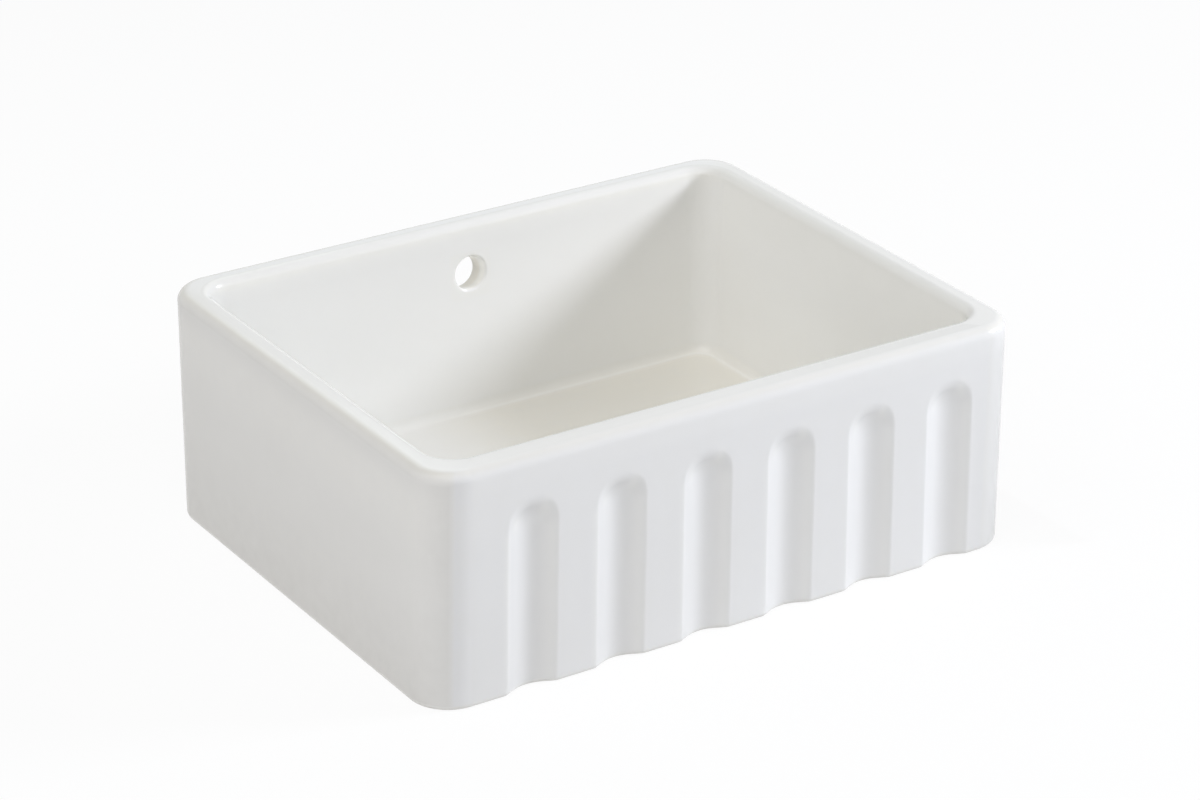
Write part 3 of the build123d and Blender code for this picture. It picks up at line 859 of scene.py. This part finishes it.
# a welded copy of a CAD node, smooth but for its real edges; a thread takes the place of a plain cylinder:
# (radius, top, end, pitch, depth) in mm, on columns at the angles of the cylinder's own points
def dressNode(node, finish, thread=None):
    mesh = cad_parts[node].data.copy()
    mesh.name = node + "Dressed"
    work = bmesh.new()
    work.from_mesh(mesh)
    bmesh.ops.remove_doubles(work, verts=work.verts, dist=weldReach / 2)
    if thread:
        near = 0.00002
        radius, topZ, endZ, pitch, depth = thread
        onIt = [v for v in work.verts if abs(math.hypot(v.co.x, v.co.y) - radius * mm) < near
                and min(abs(v.co.z - topZ * mm), abs(v.co.z - endZ * mm)) < near]
        plain = [face for face in work.faces if all(v in onIt for v in face.verts)]
        angle = np.sort([math.atan2(v.co.y, v.co.x) for v in onIt if abs(v.co.z - topZ * mm) < near])
        rowsPerTurn = 7
        z = np.linspace(topZ, endZ, int(rowsPerTurn * (topZ - endZ) / pitch))[:, None] + 0 * angle
        r = radius - depth * threadGroove(z, angle, topZ, endZ, pitch)
        points = np.stack([r * np.cos(angle), r * np.sin(angle), z], -1).reshape(-1, 3)
        added = bpy.data.meshes.new(node + "Thread")
        added.from_pydata((points * mm).tolist(), [], gridQuads(len(z), len(angle), False, True).tolist())
        bmesh.ops.delete(work, geom=plain, context="FACES")
        work.from_mesh(added)
        bpy.data.meshes.remove(added)
        bmesh.ops.remove_doubles(work, verts=work.verts, dist=near)
    realEdge = 32.0
    closeMesh(work, mesh, realEdge)
    mesh.materials.clear()
    mesh.materials.append(finishes[finish])
    piece = bpy.data.objects.new(node + "Dressed", mesh)
    scene.collection.objects.link(piece)
    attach(piece, bodyOf(node))
    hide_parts(node)


dressed = {
    "strainer_cup": {"finish": "steel"},
    "waste_body": {"finish": "whitePlastic", "thread": (23.9, -46.0, -72.0, 2.309, 1.3)},
    "inlet_seal": {"finish": "blackRubber"},
    "inlet_cap": {"finish": "whitePlastic"},
    "basket": {"finish": "steel"},
    "stem_nut": {"finish": "steel"},
    "stem_clip": {"finish": "clipPlastic"},
}
for node, look in dressed.items():
    dressNode(node, **look)


studio = {
    # floor: half its side, half the sides of its opening and how far it lies below the basin, metres; its
    # grey for bounced light, and how much of the shadow on it shows
    "floorHalf": 7.0, "holeHalf": (0.29, 0.215), "sunk": 0.0002, "floorGrey": 0.76, "shadowShare": 0.08,
    "worldColour": (0.966, 0.976, 1.0, 1), "worldStrength": 0.166,
    # an upright net right of the basin: its place and ends, metres, and the share of lamp light that passes
    "net": {"x": 0.36, "front": -0.276, "back": 0.25, "top": 0.248, "passes": 0.5},
    # what the lamps point at; each has its azimuth to the right of the front and its elevation, degrees,
    # distance, width and height, metres, and power, watts
    "middle": (0, 0, 0.11),
    "lamps": {
        "key": {"azimuth": 62.4, "elevation": 25.9, "distance": 3.2, "size": (0.85, 0.72),
                "power": 72.2, "colour": (0.88, 0.91, 1.0)},
        "leftLow": {"azimuth": -90.0, "elevation": 12.0, "distance": 4.0, "size": (3.0, 2.4),
                    "power": 8.8, "colour": (1.0, 0.918, 0.969)},
        "leftHigh": {"azimuth": -90.0, "elevation": 50.0, "distance": 4.0, "size": (3.0, 2.4),
                     "power": 26.0, "colour": (1.0, 0.99, 0.955)},
        "frontLeft": {"azimuth": -45.0, "elevation": 25.0, "distance": 4.0, "size": (3.0, 2.4),
                      "power": 26.0, "colour": (0.965, 0.965, 1.0)},
        "frontLeftHigh": {"azimuth": -45.0, "elevation": 55.0, "distance": 4.0, "size": (3.0, 2.4),
                          "power": 31.3, "colour": (1.0, 0.997, 0.997)},
        "back": {"azimuth": 180.0, "elevation": 50.0, "distance": 1.5, "size": (1.125, 0.9),
                 "power": 3.46, "colour": (0.927, 1.0, 0.985)},
    },
}


# a stage object of points and faces, without its material
def stageObject(name, points, faces):
    mesh = bpy.data.meshes.new(name)
    mesh.from_pydata(points, [], faces)
    made = bpy.data.objects.new(name, mesh)
    scene.collection.objects.link(made)
    return made


# the empty node tree of a material or a world
def emptyTree(owner):
    owner.use_nodes = True
    owner.node_tree.nodes.clear()
    return owner.node_tree


def endTree(tree, kind, last):
    tree.links.new(last.socket, tree.nodes.new(kind).inputs[0])


# 1 where the camera, gloss or glass looks, and 0 for all other light
def seenMask(tree):
    path = tree.nodes.new("ShaderNodeLightPath")
    camera, glossy, through = (Wire(tree, path.outputs[k]) for k in
                               ("Is Camera Ray", "Is Glossy Ray", "Is Transmission Ray"))
    return camera.math("MINIMUM", camera + glossy + through, 1.0)


# plain pale floor, open under the basin, so that the waste hangs free and the underside shows from below:
# two rectangular rings, each point at reach 1 / max(|cos a| / x, |sin a| / y)
def makeFloor():
    sides = 96
    angle = np.arange(sides) * 2 * np.pi / sides
    ends = (studio["holeHalf"], (studio["floorHalf"], studio["floorHalf"]))
    reaches = [1 / np.maximum(np.abs(np.cos(angle)) / x, np.abs(np.sin(angle)) / y) for x, y in ends]
    level = np.full(sides, -studio["sunk"])
    rings = [np.stack([r * np.cos(angle), r * np.sin(angle), level], -1) for r in reaches]
    quads = gridQuads(2, sides, False, True)
    floor = stageObject("studioFloor", np.concatenate(rings).tolist(), quads.tolist())
    made = bpy.data.materials.new("studioFloor")
    tree = emptyTree(made)
    grey = studio["floorGrey"]
    seen = seenMask(tree)
    matt = seen.node("ShaderNodeBsdfDiffuse", {}, {"Color": seen.mix((grey, grey, grey, 1), (1, 1, 1, 1))})
    glow = seen.node("ShaderNodeEmission", {}, {"Color": (1, 1, 1, 1), "Strength": 1.0})
    share = seen * (1 - studio["shadowShare"])
    both = seen.node("ShaderNodeMixShader", {}, {0: share, 1: matt, 2: glow})
    endTree(tree, "ShaderNodeOutputMaterial", both)
    floor.data.materials.append(made)


# net between the key lamp and the basin's right side, where the glaze would clip to white: it thins the
# lamps' light alone, and no camera or bounced ray meets it
def makeNet():
    net = studio["net"]
    x, front, back, top = (net[key] for key in ("x", "front", "back", "top"))
    corners = [(x, front, 0), (x, back, 0), (x, back, top), (x, front, top)]
    holder = stageObject("lampNet", corners, [(0, 1, 2, 3)])
    made = bpy.data.materials.new("lampNet")
    tree = emptyTree(made)
    toLamp = Wire(tree, tree.nodes.new("ShaderNodeLightPath").outputs["Is Shadow Ray"])
    thinned = toLamp.mix((1, 1, 1, 1), (net["passes"], net["passes"], net["passes"], 1))
    gauze = toLamp.node("ShaderNodeBsdfTransparent", {}, {"Color": thinned})
    endTree(tree, "ShaderNodeOutputMaterial", gauze)
    holder.data.materials.append(made)


# way from the middle of the scene towards an azimuth and an elevation, degrees
def wayTo(azimuth, elevation):
    turn, rise = math.radians(azimuth), math.radians(elevation)
    return Vector((math.sin(turn) * math.cos(rise), -math.cos(turn) * math.cos(rise), math.sin(rise)))


def makeLight():
    world = bpy.data.worlds.new("studio")
    scene.world = world
    tree = emptyTree(world)
    seen = seenMask(tree)
    soft = seen.node("ShaderNodeBackground", {}, {0: studio["worldColour"], 1: studio["worldStrength"]})
    white = seen.node("ShaderNodeBackground", {}, {0: (1, 1, 1, 1), 1: 1.0})
    both = seen.node("ShaderNodeMixShader", {}, {0: seen, 1: soft, 2: white})
    endTree(tree, "ShaderNodeOutputWorld", both)
    for name, values in studio["lamps"].items():
        lamp = bpy.data.lights.new(name, "AREA")
        lamp.shape = "RECTANGLE"
        lamp.size, lamp.size_y = values["size"]
        lamp.energy = values["power"]
        lamp.color = values["colour"]
        holder = bpy.data.objects.new(name, lamp)
        scene.collection.objects.link(holder)
        away = wayTo(values["azimuth"], values["elevation"])
        holder.location = Vector(studio["middle"]) + away * values["distance"]
        holder.rotation_mode = "QUATERNION"
        holder.rotation_quaternion = away.to_track_quat("Z", "Y")


makeFloor()
makeNet()
makeLight()
print("studio made")

# the photograph's camera: angles in degrees, distance and target in metres, sensor and lens in mm
shot = {
    "azimuth": -32.683, "elevation": 25.117, "roll": 0.061, "distance": 3.66108,
    "target": (0.075761, 0.098892, 0.065115), "sensor": 36.0, "lens": 117.8209,
}


def makeCamera():
    back = wayTo(shot["azimuth"], shot["elevation"])
    roll = math.radians(shot["roll"])
    data = bpy.data.cameras.new("camera")
    data.sensor_width = shot["sensor"]
    data.lens = shot["lens"]
    camera = bpy.data.objects.new("camera", data)
    scene.collection.objects.link(camera)
    right = (-back).cross(Vector((0, 0, 1))).normalized()
    up = right.cross(-back)
    across = math.cos(roll) * right + math.sin(roll) * up
    upwards = math.cos(roll) * up - math.sin(roll) * right
    place = Vector(shot["target"]) + back * shot["distance"]
    camera.matrix_world = Matrix.Translation(place) @ Matrix((across, upwards, back)).transposed().to_4x4()
    scene.camera = camera


makeCamera()
print("scene made")
